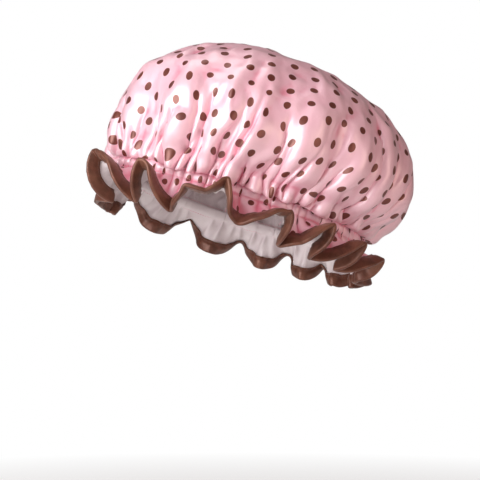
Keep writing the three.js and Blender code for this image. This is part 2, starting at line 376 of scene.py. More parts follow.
def crowdedAngle(angle, reach):
    key = round(float(reach), 6)
    if key not in crowdTables:
        crowdTables[key] = crowdTable(reach)
    around = np.mod(angle, 2 * pi)
    return around + np.interp(around, crowdGrid, crowdTables[key])


def noiseCreases(angle, radius, spacing, layer):  # highest along the lines where the noise changes sign
    x, y = radius * np.sin(angle) / spacing, radius * np.cos(angle) / spacing
    return np.array([0.35 - abs(noise.noise((*spot, layer))) for spot in zip(x, y)])


def crumple(angle, reach):  # creases left in the cloth from its packing, and fine drapes that run down it
    total = np.zeros_like(angle)
    for spacing, share in gathers["crumpleLayers"]:
        total += share * noiseCreases(angle, reach, spacing, 7.3 + spacing * 100)
    total *= 1 - ease(reach, *gathers["crumpleUntil"])
    for spacing, share in gathers["drapeLayers"]:
        size = share * ease(reach, *gathers["drapeFrom"]) * (1 - ease(reach, *gathers["drapeUntil"]))
        layer = reach / spacing / gathers["drapeStretch"]
        total += size * noiseCreases(angle, gathers["drapeRadius"], spacing, layer)
    return gathers["crumple"] * total


def gatherShare(angle, shift=0):  # 0 in the valleys of the gathers at the elastic, 1 on their ridges
    total = np.full_like(angle, 0.5)
    for band in gathers["bands"]:
        size = 1 + wander(angle, band["seed"] + shift + 2, [5, 13, 19, 29], 0.3)
        total = total + band["share"] * ridge(pleatPhase(angle, 0, band, shift)) * size
    return np.clip(total, 0, 1)


def sewnOffset(angle):
    return gathers["sewnOut"] + gathers["sewnDepth"] * gatherShare(angle)


def droopShare(angle):
    drift = wander(angle, gathers["seed"] + 700, [9, 14, 23, 37], 0.45)
    return np.clip(gatherShare(angle) + drift, 0, 1.3)


def tunnelPuff(reach):  # 0 at the sewn rows and just past them, 1 over the elastic
    share = (reach - crownReach) / tunnelHeight
    edge = gathers["edgeShare"]
    return ease(min(share, 1 - share), edge, edge + 0.25)


def frillBase(turn, along):  # the frill's own surface, where its cloth keeps its length
    phase = foldPhase(turn)
    crest = np.floor(phase).astype(int)
    valleyShares = np.array(frillFolds["valleyShares"])[crest % foldCount]
    within = (phase - crest) ** (log(0.5) / np.log(valleyShares))
    leans, valleys = np.array(frillFolds["crestLean"]), np.array(frillFolds["valleyLean"])
    crestLean = mix(leans[crest % foldCount], leans[(crest + 1) % foldCount], ease(within, 0, 1))
    beat = np.cos(2 * pi * within)
    sharp = mix(frillFolds["valleySharpness"], frillFolds["crestSharpness"], (1 + beat) / 2)
    share = (1 + np.arcsin(sharp * beat) / np.arcsin(sharp)) / 2
    hemLean = np.radians(mix(valleys[crest % foldCount], crestLean, share))
    startLean = radians(capForm["frillStart"]) + hemLean * capForm["frillStartShare"]
    outward = levelOut(turn)
    point = tunnelBase(turn, tunnelHeight)
    steps = 12
    stride = along / steps
    for step in range(steps):
        bent = ease((step + 0.5) / steps * along / frillLength, 0, capForm["bendShare"])
        lean = mix(startLean, hemLean, bent)
        point = point + outward * (stride * np.sin(lean))[:, None]
        point[:, 2] -= stride * np.cos(lean)
    swing = frillFolds["swing"] * np.sin(turn - radians(frillFolds["swingFrom"])) * (2 * share - 1)
    sideways = np.stack([-outward[:, 1], outward[:, 0], outward[:, 2]], axis=-1)
    return point + sideways * (swing * (along / frillLength) ** 1.5)[:, None]


def tunnelBase(turn, below):  # the elastic's own line, the given length below the tunnel's upper row
    height = np.full_like(turn, tunnelHeight / 2 - below)
    return np.stack([openingHalfWidth * np.sin(turn), -openingHalfLength * np.cos(turn), height], axis=-1)


def crownBase(turn, reach):
    down = downAt(turn, reach)
    shares = frillFolds["crownShares"]
    free = np.interp(down, np.linspace(0, 1, len(shares)), shares) * frillFolds["crownDepth"]
    wave = np.cos(2 * pi * foldPhase(turn))
    depth = free * (1 - ease(down, 0.83, 1)) * wave
    return domePoint(turn, down) + levelOut(turn) * depth[:, None]


def basePoint(angle, reach):
    turn = turnAt(angle, reach)
    if reach <= crownReach:
        return crownBase(turn, reach)
    if reach <= tunnelEnd:
        return tunnelBase(turn, reach - crownReach)
    return frillBase(turn, reach - tunnelEnd)


def clothNormal(angle, reach):
    small = 2e-4
    inside = min(max(reach, 2 * small), hemReach - small)
    across = basePoint(angle + small, inside) - basePoint(angle - small, inside)
    fall = basePoint(angle, inside + small) - basePoint(angle, inside - small)
    return unit(np.cross(fall, across))


def clothPoint(angle, reach):  # the satin before it settles
    if reach <= 0.001:
        return basePoint(angle, reach)
    turn = turnAt(angle, reach)
    out = levelOut(turn)
    normal = clothNormal(angle, reach)
    if reach <= crownReach:
        direction = unit(mix(normal, out, ease(reach, *gathers["turnedOut"])))
        lift = sum(pleatLift(angle, reach, band) for band in gathers["bands"]) + creaseLift(angle, reach)
        lift = mix(lift, sewnOffset(angle), ease(reach, gathers["sewnFrom"], crownReach))
    elif reach <= tunnelEnd:
        direction = out
        over = gathers["tunnelOut"] + gathers["tunnelDepth"] * gatherShare(angle)
        over = over + np.abs(wander(angle, 91, [83, 101, 118], gathers["tunnelPucker"]))
        lift = mix(sewnOffset(angle), over, tunnelPuff(reach))
    else:
        along = (reach - tunnelEnd) / frillLength
        direction = unit(mix(out, normal, ease(along, 0, 0.35)))
        pleats = (gatherShare(angle) - 0.5) * gathers["frillPleats"]
        pleats = pleats * ease(along, 0, 0.18) * (1 - 0.85 * ease(along, 0.15, 0.9))
        lift = sewnOffset(angle) * (1 - ease(along, 0, 0.3)) + pleats
        lift = lift + wander(angle, 77, [41, 57, 66], gathers["frillWander"]) * ease(along, 0.1, 0.7)
    point = basePoint(angle, reach) + direction * lift[:, None]
    above = (crownReach - reach) / gathers["droopReach"]
    if 0 < above < 1:
        overSide = 0.5 + np.exp(-(((turn - gathers["droopTurn"]) / gathers["droopWidth"]) ** 2))
        droop = gathers["droop"] * overSide * droopShare(angle) * sin(pi * above**0.6) ** 2
        point += out * 0.7 * droop[:, None]
        point[:, 2] -= droop
    return point


def intoFrame(points):  # from the cap's own axes, level with the opening, to the model's
    x, y, z = points[..., 0], points[..., 1], points[..., 2]
    back, up = y * cos(tilt) + z * sin(tilt), z * cos(tilt) - y * sin(tilt)
    return np.stack([x, back, up], axis=-1)


# Satin: one disc of cloth. A square patch of quads lies in the middle of the top and rings run from
# it to the hem, with twice as many points in a ring from doubleAt on.
clothCut = {
    "patchRings": 30,
    "patchStep": 0.0024,
    "coarseRows": 16,
    "doubleAt": 0.136,
    "fineRows": 20,
    "rowBunching": 1.35,  # above 1 the rows draw together towards the tunnel
    "tunnelShares": [0.056, 0.33, 0.67, 0.944, 1],
    "frillRows": 9,
}


def clothRows():
    patchEdge = clothCut["patchRings"] * clothCut["patchStep"]
    coarse = np.linspace(patchEdge, clothCut["doubleAt"], clothCut["coarseRows"] + 1)[1:]
    share = 1 - np.linspace(1, 0, clothCut["fineRows"] + 1)[1:] ** clothCut["rowBunching"]
    fine = mix(clothCut["doubleAt"], crownReach, share)
    tunnel = crownReach + tunnelHeight * np.array(clothCut["tunnelShares"])
    frill = np.linspace(tunnelEnd, hemReach, clothCut["frillRows"] + 1)[1:]
    return coarse, np.concatenate([fine, tunnel, frill])


def clothDisc():
    size = clothCut["patchRings"]
    across = np.arange(-size, size + 1)
    a, b = (grid.ravel().astype(float) for grid in np.meshgrid(across, across))
    ring = np.maximum(np.abs(a), np.abs(b))
    wide = np.abs(a) > np.abs(b)
    with np.errstate(divide="ignore", invalid="ignore"):
        angle = np.where(wide, pi / 4 * b / a, pi / 2 - pi / 4 * a / b)
    angle = angle + np.where(wide & (a < 0), pi, 0) + np.where(~wide & (b < 0), pi, 0)
    angle = np.where(ring == 0, 0, np.mod(angle + pi / 2, 2 * pi))
    reach = ring * clothCut["patchStep"]
    side = 2 * size + 1
    faces = []
    for row in range(side - 1):
        for column in range(side - 1):
            first = row * side + column
            faces.append((first, first + 1, first + side + 1, first + side))
    edgeCount = 8 * size
    edge = np.flatnonzero(ring == size)
    order = np.round(angle[edge] / (2 * pi / edgeCount)).astype(int) % edgeCount
    previous = [int(place) for _, place in sorted(zip(order, edge))]
    angles, reaches = [angle], [reach]
    total = len(angle)
    coarse, fine = clothRows()
    for rowReach, count in [(r, edgeCount) for r in coarse] + [(r, 2 * edgeCount) for r in fine]:
        angles.append(np.arange(count) * 2 * pi / count)
        reaches.append(np.full(count, rowReach))
        current = list(range(total, total + count))
        total += count
        ratio = count // len(previous)
        for index, start in enumerate(previous):
            end = previous[(index + 1) % len(previous)]
            outer = [current[(index * ratio + extra) % count] for extra in range(ratio + 1)]
            faces.append((start, *outer, end))
        previous = current
    return np.concatenate(angles), np.concatenate(reaches), faces


def pointsFor(angles, reaches, maker):
    rings = [np.flatnonzero(reaches == reach) for reach in np.unique(reaches)]
    made = [maker(angles[ring], reaches[ring[0]]) for ring in rings]
    return np.concatenate(made)[np.argsort(np.concatenate(rings))]


def meshPiece(name, points, faces):
    mesh = bpy.data.meshes.new(name)
    mesh.from_pydata([tuple(point) for point in points], [], faces)
    mesh.update()
    piece = bpy.data.objects.new(name, mesh)
    bpy.context.scene.collection.objects.link(piece)
    for polygon in mesh.polygons:
        polygon.use_smooth = True
    return piece


def setPoints(piece, points):
    piece.data.vertices.foreach_set("co", np.asarray(points, np.float32).ravel())
    piece.data.update()


def readVertices(mesh, name):
    values = np.zeros(len(mesh.vertices) * 3, np.float32)
    mesh.vertices.foreach_get(name, values)
    return values.reshape(-1, 3).astype(float)


def getPoints(piece):
    return readVertices(piece.data, "co")


def getNormals(piece):
    return readVertices(piece.data, "normal")


def fixPlace():
    bpy.ops.object.transform_apply(location=True, rotation=True, scale=True)


def openMesh():
    bpy.ops.object.mode_set(mode="EDIT")
    bpy.ops.mesh.select_all(action="SELECT")


def paintCut(piece, u, v):  # a UV map in which each point keeps its place on the flat cut
    layer = piece.data.uv_layers.new(name="cut")
    corners = np.zeros(len(piece.data.loops), np.int32)
    piece.data.loops.foreach_get("vertex_index", corners)
    layer.data.foreach_set("uv", np.stack([u[corners], v[corners]], axis=-1).astype(np.float32).ravel())


def smoothed(values, edges, times):
    ends, others = np.concatenate([edges[:, 0], edges[:, 1]]), np.concatenate([edges[:, 1], edges[:, 0]])
    count = np.bincount(ends, minlength=len(values))
    columns = values.reshape(len(values), -1).T
    for _ in range(times):
        near = np.stack([np.bincount(ends, column[others], len(values)) for column in columns])
        columns = mix(columns, near / count, 0.5)
    return columns.T.reshape(values.shape)


clothAngles, clothReaches, clothFaces = clothDisc()
flatX, flatY = clothReaches * np.sin(clothAngles), -clothReaches * np.cos(clothAngles)
cutWidth = 2 * hemReach


def clothLayer(name, points):
    piece = meshPiece(name, points, clothFaces)
    paintCut(piece, 0.5 + flatX / cutWidth, 0.5 + flatY / cutWidth)
    return piece


satinStart = intoFrame(pointsFor(clothAngles, clothReaches, clothPoint))
satin = clothLayer("satinShell", satinStart)
clothEdges = np.array([edge.vertices[:] for edge in satin.data.edges])
print("satin cut:", len(clothFaces), "faces")

settling = {
    "frames": 14,
    "pinned": (0.2105, 0.2175),  # the reaches between which the cloth is held more and more
    "furthest": 0.009,
    "directionPasses": 60,  # passes of smoothing
    "fullnessPasses": 160,
    "kept": -0.0006,  # how far out of the cap's own form the cloth lies afterwards, on the whole
    "evenedUntil": (0.195, 0.212),
    "crispness": 0.8,
    "crispPasses": 34,
    "crispUntil": (0.2045, 0.2175),
}
clothSettings = {
    "quality": 6,
    "mass": 0.0004,
    "tension_stiffness": 15,
    "compression_stiffness": 5,
    "shear_stiffness": 2,
    "bending_stiffness": 0.15,
    "tension_damping": 6,
    "compression_damping": 6,
    "air_damping": 2,
    "vertex_group_mass": "held",
    "pin_stiffness": 1,
    "use_pressure": True,
    "uniform_pressure_force": 60,
}


def settleCloth(piece, reaches, flat):  # the cloth finds its own folds between the top and the elastic
    piece.shape_key_add(name="worn")
    cut = piece.shape_key_add(name="flatCut")
    cut.data.foreach_set("co", np.asarray(flat, np.float32).ravel())
    held = piece.vertex_groups.new(name="held")
    for index, weight in enumerate(ease(reaches, *settling["pinned"])):
        if weight > 0:
            held.add([index], float(weight), "REPLACE")
    cloth = piece.modifiers.new("settle", "CLOTH")
    for name, value in clothSettings.items():
        setattr(cloth.settings, name, value)
    cloth.settings.rest_shape_key = cut
    cloth.settings.effector_weights.gravity = 0
    cloth.collision_settings.use_collision = False
    cloth.point_cache.frame_start = 1
    cloth.point_cache.frame_end = settling["frames"]
    for step in range(1, settling["frames"] + 1):
        bpy.context.scene.frame_set(step)
    settled = piece.evaluated_get(bpy.context.evaluated_depsgraph_get())
    points = readVertices(settled.data, "co")
    piece.modifiers.remove(cloth)
    piece.shape_key_clear()
    bpy.context.scene.frame_set(1)
    return points


flatCut = np.stack([flatX, flatY, np.zeros_like(flatX)], axis=-1)
moved = settleCloth(satin, clothReaches, flatCut) - satinStart
length = np.linalg.norm(moved, axis=1)
print(f"satin settled: furthest {length.max() * 1000:.1f} mm, mean {length.mean() * 1000:.2f} mm")
limit = settling["furthest"]
scale = np.where(length > 0, limit * np.tanh(length / limit) / np.maximum(length, 1e-9), 1)
setPoints(satin, satinStart + moved * scale[:, None])

# The fullness that the cloth gained all over is taken back, and its folds stay.
worn = getPoints(satin)
ownForm = intoFrame(pointsFor(clothAngles, clothReaches, basePoint))
evenOut = unit(smoothed(getNormals(satin), clothEdges, settling["directionPasses"]))
gained = np.einsum("ij,ij->i", worn - ownForm, evenOut)
gained = smoothed(gained, clothEdges, settling["fullnessPasses"]) - settling["kept"]
gained *= 1 - ease(clothReaches, *settling["evenedUntil"])
setPoints(satin, worn - evenOut * gained[:, None])

worn = getPoints(satin)  # the folds are then drawn sharper
crispness = settling["crispness"] * (1 - ease(clothReaches, *settling["crispUntil"]))
setPoints(satin, worn + (worn - smoothed(worn, clothEdges, settling["crispPasses"])) * crispness[:, None])

# Three creases from the cap's packing, as the camera sees them: right and up along each, in metres.
packedCreases = [
    {
        "line": [(-0.091, 0.112), (-0.046, 0.110), (-0.030, 0.111), (-0.008, 0.105), (0.026, 0.103)],
        "height": 0.0022,
    },
    {"line": [(-0.016, 0.117), (0.004, 0.124), (0.030, 0.112)], "height": 0.0014},
    {"line": [(0.055, 0.112), (0.078, 0.080), (0.088, 0.045)], "height": 0.0018},
]
packedWidth = 0.006


def packedLift(points, normals):
    seen = ease(normals @ towardCamera, -0.1, 0.3)
    right, up = points @ pictureRight, points @ pictureUp
    total = np.zeros(len(points))
    for crease in packedCreases:
        nearest = np.full(len(points), 1.0)
        for (x0, y0), (x1, y1) in zip(crease["line"], crease["line"][1:]):
            share = ((right - x0) * (x1 - x0) + (up - y0) * (y1 - y0)) / ((x1 - x0) ** 2 + (y1 - y0) ** 2)
            share = np.clip(share, 0, 1)
            nearest = np.minimum(nearest, np.hypot(right - mix(x0, x1, share), up - mix(y0, y1, share)))
        total += crease["height"] * np.exp(-nearest / packedWidth)
    return total * seen


packed = pointsFor(clothAngles, clothReaches, crumple)
packed += packedLift(getPoints(satin), getNormals(satin))
setPoints(satin, getPoints(satin) + getNormals(satin) * packed[:, None])
satinPoints = getPoints(satin)
satinNormals = getNormals(satin)

# Valleys and ridges of the cloth, for painted shade in its valleys and painted light on its ridges.
foldShadingSettings = {"passes": 14, "fullDepth": 0.0012, "moreAtTunnel": 0.6, "nearTunnel": (0.17, 0.212)}
level = smoothed(satinPoints, clothEdges, foldShadingSettings["passes"])
foldShading = np.einsum("ij,ij->i", level - satinPoints, satinNormals) / foldShadingSettings["fullDepth"]
foldShading *= 1 + foldShadingSettings["moreAtTunnel"] * ease(clothReaches, *foldShadingSettings["nearTunnel"])
foldShadingLayer = satin.data.attributes.new("foldShading", "FLOAT", "POINT")
foldShadingLayer.data.foreach_set("value", np.clip(foldShading, -1, 1).astype(np.float32))

# Lining: cut as the satin is. It hangs free inside the crown and follows the satin's every fold where
# the two are sewn together.
liningGap = {
    "sewn": 0.0009,
    "near": 0.0005,  # above the sewn rows, square to the satin
    "nearEven": 0.0011,  # and square to the satin's evened form
    "followFrom": 0.2,  # the reach from which it follows the satin
    "passes": 10,
    "freeFrom": (0.06, 0.13),
    "crinkleFrom": (0.06, 0.16),
    "top": 0.0012,
    "free": 0.0045,
    "tunnel": 0.0016,
    "crinkle": 0.0014,
}


def liningTunnel(angle, reach):
    turn = turnAt(angle, reach)
    pleats = liningGap["tunnel"] * gatherShare(angle, 600)
    inward = gathers["tunnelOut"] + mix(0.2, 1, tunnelPuff(reach)) * pleats
    return tunnelBase(turn, reach - crownReach) - levelOut(turn) * inward[:, None]


def liningPoints():
    even = smoothed(satinPoints, clothEdges, liningGap["passes"])
    evenPiece = meshPiece("liningGuide", even, clothFaces)
    evenNormals = getNormals(evenPiece)
    bpy.data.objects.remove(evenPiece)
    reach = clothReaches
    sewn = satinPoints - satinNormals * liningGap["sewn"]
    near = satinPoints - satinNormals * liningGap["near"] - evenNormals * liningGap["nearEven"]
    follow = mix(near, sewn, ease(reach, liningGap["followFrom"], crownReach)[:, None])
    inTunnel = (reach > crownReach + 1e-6) & (reach < tunnelEnd - 1e-6)
    follow[inTunnel] = intoFrame(pointsFor(clothAngles[inTunnel], reach[inTunnel], liningTunnel))
    depth = mix(liningGap["top"], liningGap["free"], ease(reach, *liningGap["freeFrom"]))
    film = wander(clothAngles + reach * 2.0, 301, [61, 78, 97, 113], liningGap["crinkle"])
    film = film + wander(clothAngles - reach * 3.0, 302, [83, 104], liningGap["crinkle"])
    film = film * ease(reach, *liningGap["crinkleFrom"])
    hang = even - evenNormals * (depth - film)[:, None]
    return mix(hang, follow, ease(reach, liningGap["followFrom"], crownReach - 0.002)[:, None])


lining = clothLayer("waterproofLining", liningPoints())
print("lining hung")

for layer in (satin, lining):
    finer = layer.modifiers.new("finer", "SUBSURF")
    finer.levels = finer.render_levels = 1

# Binding: a tape folded over the hem, its two legs caught by one row of stitches.
tape = {
    "width": 0.0095,
    "thickness": 0.0006,
    "clearance": 0.00055,
    "lining": 0.0009,  # more room inside, for the lining
    "swell": 0.0007,
    "foldOut": 0.0013,
    "pucker": 0.0004,
    "columns": 960,
    "rows": 7,
    "foldSteps": 6,
    "hugShare": 0.14,  # of the width, where the row of stitches pulls the tape down
    "hugWidthShare": 0.12,
}
mapUnit = 0.1  # metres to one unit of the tape's and the elastic's UV maps


def gridNormals(grid):
    across = np.roll(grid, -1, axis=1) - np.roll(grid, 1, axis=1)
    fall = np.gradient(grid, axis=0)
    return unit(np.cross(fall, across)), unit(fall)


tapeAngles = np.arange(tape["columns"]) * 2 * pi / tape["columns"]
tapeReaches = np.linspace(hemReach - tape["width"], hemReach, tape["rows"])
tapeGrid = np.stack([intoFrame(clothPoint(tapeAngles, reach)) for reach in tapeReaches])
tapeNormals, tapeFalls = gridNormals(tapeGrid)


def tapePoints():
    rows, steps = tape["rows"], tape["foldSteps"]
    share = np.linspace(0, 1, rows)
    puckers = 1 + wander(tapeAngles, 5, [141, 163, 190, 227], 0.5)
    hug = np.exp(-(((share - tape["hugShare"]) / tape["hugWidthShare"]) ** 2))
    swell = tape["swell"] * np.sin(pi * share**0.8) * (1 - 0.8 * hug)
    skin = swell[:, None] + tape["pucker"] * puckers[None, :] * (1 - share)[:, None] ** 1.5
    outer = tape["clearance"] + tape["thickness"] + skin * (1 - 0.7 * hug)[:, None]
    inner = outer + tape["lining"]
    rings = [tapeGrid[row] + tapeNormals[row] * outer[row][:, None] for row in range(rows)]
    hem, hemNormal, hemFall = tapeGrid[-1], tapeNormals[-1], tapeFalls[-1]
    for step in range(1, steps):
        bend = pi * step / steps
        height = mix(outer[-1], -inner[-1], (1 - cos(bend)) / 2)
        rings.append(hem + hemNormal * height[:, None] + hemFall * tape["foldOut"] * sin(bend))
    rings += [tapeGrid[row] - tapeNormals[row] * inner[row][:, None] for row in reversed(range(rows))]
    backInner = tape["clearance"] + tape["lining"]
    rings += [tapeGrid[row] - tapeNormals[row] * backInner for row in range(0, rows, 2)]
    rings.append(hem + hemFall * (tape["foldOut"] - tape["thickness"]) - hemNormal * tape["lining"] / 2)
    rings += [tapeGrid[row] + tapeNormals[row] * tape["clearance"] for row in reversed(range(0, rows, 2))]
    return rings


tapeRings = tapePoints()
ringCount, columns = len(tapeRings), tape["columns"]
tapeFaces = []
for ringIndex in range(ringCount):
    start, after = ringIndex * columns, (ringIndex + 1) % ringCount * columns
    for column in range(columns):
        beside = (column + 1) % columns
        tapeFaces.append((start + column, after + column, after + beside, start + beside))
binding = meshPiece("hemBinding", np.concatenate(tapeRings), tapeFaces)
alongTape = lengthAlong(tapeGrid[-1])
aroundTape = lengthAlong(np.array([ring[0] for ring in tapeRings]))
paintCut(binding, np.tile(alongTape, ringCount) / mapUnit, np.repeat(aroundTape, columns) / mapUnit)
print("binding folded over the hem,", round(float(alongTape[-1]) * 1000), "mm long")

# Elastic: a flat woven band, its ends lapped at the nape.
band = {
    "width": 0.007,
    "thickness": 0.0008,
    "points": 240,
    "rows": 4,
    "lapLength": 0.014,
    "softUpTo": 40,  # degrees between two faces
}


def bandPiece():
    bpy.ops.object.select_all(action="DESELECT")
    lowEdge = (0, 0, -band["width"] / 2)
    bpy.ops.mesh.primitive_circle_add(vertices=band["points"], radius=1, location=lowEdge)
    piece = bpy.context.object
    piece.name = "elasticBand"
    openMesh()
    bpy.ops.transform.resize(value=(openingHalfWidth, openingHalfLength, 1))
    rowUp = {"value": (0, 0, band["width"] / band["rows"])}
    for _ in range(band["rows"]):
        bpy.ops.mesh.extrude_region_move(TRANSFORM_OT_translate=rowUp)
    bpy.ops.object.mode_set(mode="OBJECT")
    fixPlace()
    wall = piece.modifiers.new("wall", "SOLIDIFY")
    wall.thickness = band["thickness"]
    wall.offset = 0
    bpy.ops.object.modifier_apply(modifier=wall.name)
    openMesh()
    bpy.ops.mesh.normals_make_consistent(inside=False)
    bpy.ops.object.mode_set(mode="OBJECT")
    points = getPoints(piece)
    lap = (points[:, 1] > 0) & (np.abs(points[:, 0]) < band["lapLength"] / 2)
    rim = np.hypot(points[:, 0] / openingHalfWidth, points[:, 1] / openingHalfLength)
    points[lap & (rim > 1), 1] += band["thickness"] / 2
    points[lap & (rim < 1), 1] -= band["thickness"] / 2
    around = np.mod(np.arctan2(points[:, 0], -points[:, 1]), 2 * pi)
    meanRadius = (openingHalfLength + openingHalfWidth) / 2
    setPoints(piece, intoFrame(points))
    if piece.data.uv_layers:
        piece.data.uv_layers.remove(piece.data.uv_layers[0])
    paintCut(piece, around * meanRadius / mapUnit, points[:, 2] / mapUnit)
    bpy.ops.object.shade_smooth_by_angle(angle=radians(band["softUpTo"]))
    return piece


elastic = bandPiece()
print("elastic woven")

# Threads: each stitch is a short bead of thread that dips at both ends.
thread = {
    "thickness": 0.00032,
    "sides": 6,
    "fill": 0.78,
    "kneeShare": 0.3,  # of the bead's length, from its middle to where it starts to dip
    "endShare": 0.45,
    "dip": 0.9,
    "overCloth": 0.0002,
    "overTape": 0.0001,
    "tapeRow": 1,
    "tapeColumns": 2,
}


def stitchShape():
    bpy.ops.object.select_all(action="DESELECT")
    bpy.ops.mesh.primitive_cylinder_add(vertices=thread["sides"], radius=1, depth=1)
    bead = bpy.context.object
    bead.rotation_euler = (0, pi / 2, 0)
    fixPlace()
    openMesh()
    for knee in (-thread["kneeShare"], thread["kneeShare"]):
        bpy.ops.mesh.bisect(plane_co=(knee, 0, 0), plane_no=(1, 0, 0))
        bpy.ops.mesh.select_all(action="SELECT")
    bpy.ops.object.mode_set(mode="OBJECT")
    points = getPoints(bead)
    ends = np.abs(points[:, 0]) > (0.5 + thread["kneeShare"]) / 2
    points[ends, 1:] *= thread["endShare"]
    points[ends, 2] -= thread["dip"]
    faces = [tuple(polygon.vertices) for polygon in bead.data.polygons]
    bpy.data.objects.remove(bead)
    return points, faces


beadPoints, beadFaces = stitchShape()


def stitchRow(line, normals, standOff):
    step = np.roll(line, -1, axis=0) - line
    along = unit(step)
    out = unit(normals - along * np.einsum("ij,ij->i", normals, along)[:, None])
    side = np.cross(out, along)
    middle = line + step / 2 + out * standOff
    radius = thread["thickness"] / 2
    length = np.linalg.norm(step, axis=1) * thread["fill"]
    points = (
        middle[:, None]
        + along[:, None] * (beadPoints[None, :, 0] * length[:, None])[..., None]
        + side[:, None] * (beadPoints[None, :, 1] * radius)[..., None]
        + out[:, None] * (beadPoints[None, :, 2] * radius)[..., None]
    )
    return points.reshape(-1, 3)


def threadPiece(name, rows):
    points = np.concatenate(rows)
    perBead = len(beadPoints)
    faces = [
        tuple(start + corner for corner in face)
        for start in range(0, len(points), perBead)
        for face in beadFaces
    ]
    return meshPiece(name, points, faces)


tunnelRows = []
for rowReach in (crownReach, tunnelEnd):
    row = np.flatnonzero(np.isclose(clothReaches, rowReach))
    for layer, side in ((satin, 1), (lining, -1)):
        out = getNormals(layer)[row] * side
        tunnelRows.append(stitchRow(getPoints(layer)[row], out, thread["overCloth"]))
tunnelThread = threadPiece("tunnelThread", tunnelRows)

outerRow = thread["tapeRow"]
innerRow = 2 * tape["rows"] + tape["foldSteps"] - 2 - outerRow
hemRows = []
for row, side in ((outerRow, 1), (innerRow, -1)):
    out = tapeNormals[outerRow][:: thread["tapeColumns"]] * side
    hemRows.append(stitchRow(tapeRings[row][:: thread["tapeColumns"]], out, thread["overTape"]))
hemThread = threadPiece("hemThread", hemRows)
print("threads sewn:", len(tunnelThread.data.polygons) + len(hemThread.data.polygons), "faces")


# Finishes
class Value:  # a socket that takes part in sums
    def __init__(self, finish, socket):
        self.finish = finish
        self.socket = socket

    def sum(self, operation, *parts):
        return self.finish.node("ShaderNodeMath", dict(enumerate(parts)), operation=operation)

    def __add__(self, other):
        return self.sum("ADD", self, other)

    def __sub__(self, other):
        return self.sum("SUBTRACT", self, other)

    def __rsub__(self, other):
        return self.sum("SUBTRACT", other, self)

    def __mul__(self, other):
        return self.sum("MULTIPLY", self, other)

    def __truediv__(self, other):
        return self.sum("DIVIDE", self, other)

    def apply(self, operation, *others):
        return self.sum(operation, self, *others)

    def clamped(self):
        return self.finish.node("ShaderNodeClamp", {"Value": self})


class Finish:  # a material: constants go on its shader's own sockets
    def __init__(self, name, constants):
        self.material = bpy.data.materials.new(name)
        self.material.use_nodes = True
        self.tree = self.material.node_tree
        self.shader = self.tree.nodes["Principled BSDF"]
        for socketName, value in constants.items():
            self.shader.inputs[socketName].default_value = value

    def node(self, kind, inputs, output=0, **settings):
        made = self.tree.nodes.new(kind)
        for name, value in settings.items():
            setattr(made, name, value)
        for name, value in inputs.items():
            if isinstance(value, Value):
                self.tree.links.new(value.socket, made.inputs[name])
            else:
                made.inputs[name].default_value = value
        return Value(self, made.outputs[output])

    def feed(self, socketName, value):
        self.tree.links.new(value.socket, self.shader.inputs[socketName])

    def cut(self, unitSize, turn=0):  # place on the flat cloth, from a map whose unit has the given size
        inputs = {
            "Vector": self.node("ShaderNodeUVMap", {}, uv_map="cut"),
            "Scale": (unitSize, unitSize, unitSize),
            "Rotation": (0, 0, turn),
        }
        return self.node("ShaderNodeMapping", inputs)

    def axis(self, vector, index):
        return self.node("ShaderNodeSeparateXYZ", {"Vector": vector}, index)

    def blend(self, first, second, share):
        return self.node("ShaderNodeMix", {"Factor": share, 6: first, 7: second}, 2, data_type="RGBA")

    def noise(self, vector, scale, detail=2.0, roughness=0.5):
        inputs = {"Vector": vector, "Scale": scale, "Detail": detail, "Roughness": roughness}
        return self.node("ShaderNodeTexNoise", inputs)

    def ribs(self, vector, scale, direction="DIAGONAL", **more):
        inputs = {"Vector": vector, "Scale": scale, **more}
        return self.node("ShaderNodeTexWave", inputs, wave_type="BANDS", bands_direction=direction)

    def bump(self, height, strength, distance, normal=None):
        inputs = {"Height": height, "Strength": strength, "Distance": distance}
        if normal:
            inputs["Normal"] = normal
        return self.node("ShaderNodeBump", inputs)

    def paint(self, piece):
        piece.data.materials.clear()
        piece.data.materials.append(self.material)


def colour(red, green, blue):  # from the eye's 0-255 scale
    def straight(value):
        value /= 255
        return value / 12.92 if value <= 0.04045 else ((value + 0.055) / 1.055) ** 2.4

    return (straight(red), straight(green), straight(blue), 1)


satinLook = {
    "pink": colour(241, 186, 201),
    # painted light: a paler pink for the ridges of the folds; painted shade: a deeper pink for their
    # valleys
    "paintedLightOnRidges": colour(246, 200, 210),
    "paintedShadeInFolds": colour(224, 84, 122),
    "dot": colour(108, 46, 36),
    "dotPale": colour(150, 84, 56),
    "dotSpacing": 0.0168,
    "rowSpacing": 0.0188,
    "dotRadius": 0.0034,
    "dotEdge": 0.012,  # how soft a dot's edge is, as a share of the spacing
    "dotScatter": 0.05,
    "rowTurn": 12,  # degrees
    "shader": {
        "Roughness": 0.38,
        "Specular IOR Level": 1.0,
        "Anisotropic": 0.3,
        "Coat Roughness": 0.3,
        "Coat IOR": 1.9,
    },
    "dotMetal": 0.4,
    "coat": 0.85,
    "crinkle": 0.0009,
}


def dotMask(finish, look):
    rowShare = look["rowSpacing"] / look["dotSpacing"]
    turned = finish.cut(cutWidth / look["dotSpacing"], radians(look["rowTurn"]))
    down = finish.axis(turned, 1) / rowShare
    row = down.apply("FLOOR")
    shifted = finish.axis(turned, 0) + row.apply("FLOORED_MODULO", 2.0) * 0.5
    cell = shifted.apply("FLOOR")
    spot = finish.node("ShaderNodeCombineXYZ", {"X": cell, "Y": row, "Z": 3.0})
    chance = finish.node("ShaderNodeTexWhiteNoise", {"Vector": spot}, 1, noise_dimensions="3D")
    scatter = look["dotScatter"] * 2
    offX = shifted - cell - 0.5 + (finish.axis(chance, 0) - 0.5) * scatter
    offY = (down - row - 0.5 + (finish.axis(chance, 1) - 0.5) * scatter) * rowShare
    apart = (offX * offX + offY * offY).apply("SQRT")
    radius = look["dotRadius"] / look["dotSpacing"]
    return ((radius - apart) / look["dotEdge"] + 0.5).clamped()


